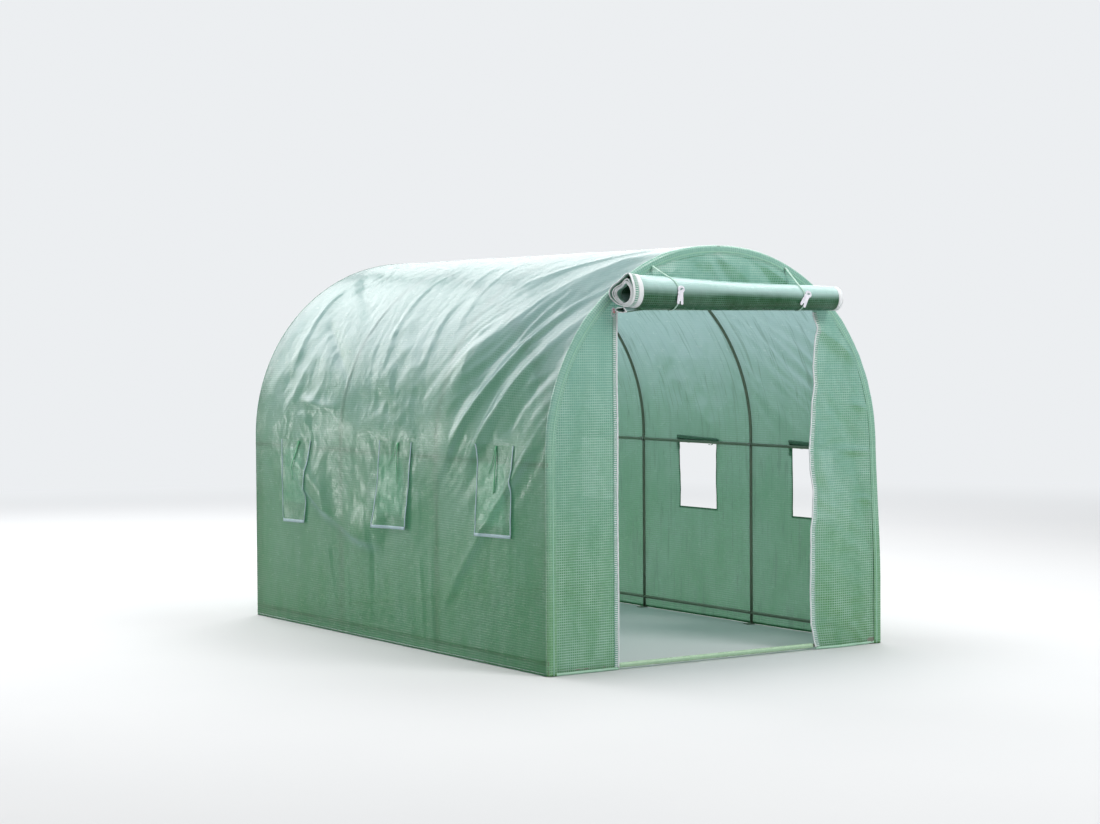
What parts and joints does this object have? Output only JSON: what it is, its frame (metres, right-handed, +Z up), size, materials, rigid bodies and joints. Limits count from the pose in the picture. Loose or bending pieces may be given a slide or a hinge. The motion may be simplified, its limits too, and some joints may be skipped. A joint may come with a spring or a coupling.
{
  "type": "polytunnel greenhouse",
  "caption": "Walk-in polytunnel greenhouse: arched tube frame under a green reinforced film cover, with a rolled-up zip door and side windows.",
  "frame": {"origin": "on the ground, in the middle of the footprint of the tunnel and its rolled door", "axes": "+X to the right seen from the front, +Y from the door to the back end, +Z up"},
  "size_m": [2.0422, 3.162, 2],
  "materials": {
    "frame_tube": "satin",
    "cover_film": "satin",
    "door_film": "satin",
    "flap_film": "satin",
    "zip": "satin",
    "tie_band": "woven",
    "toggle_plastic": "gloss"
  },
  "bodies": {
    "root": {"front_hoop_legs": "frame_tube", "front_hoop_bends": "frame_tube", "middle_front_hoop_legs": "frame_tube", "middle_front_hoop_bends": "frame_tube", "middle_rear_hoop_legs": "frame_tube", "middle_rear_hoop_bends": "frame_tube", "back_hoop_legs": "frame_tube", "back_hoop_bends": "frame_tube", "ridge_rail": "frame_tube", "left_side_rail": "frame_tube", "right_side_rail": "frame_tube", "left_ground_rail": "frame_tube", "right_ground_rail": "frame_tube", "threshold_rail": "frame_tube", "back_ground_rail": "frame_tube", "roof_cover": "cover_film", "left_wall_cover": "cover_film", "right_wall_cover": "cover_film", "front_gable_panel": "cover_film", "front_left_panel": "cover_film", "front_right_panel": "cover_film", "back_end_panel": "cover_film", "threshold_sleeve": "cover_film", "door_roll": "door_film", "door_zip_left": "zip", "door_zip_right": "zip", "door_ties": "tie_band", "door_toggles": "toggle_plastic", "left_window_flap_1": "flap_film", "left_window_flap_2": "flap_film", "left_window_flap_3": "flap_film", "left_window_ties": "tie_band", "right_window_rolls": "flap_film", "right_window_straps": "tie_band"}
  },
  "joints": []
}
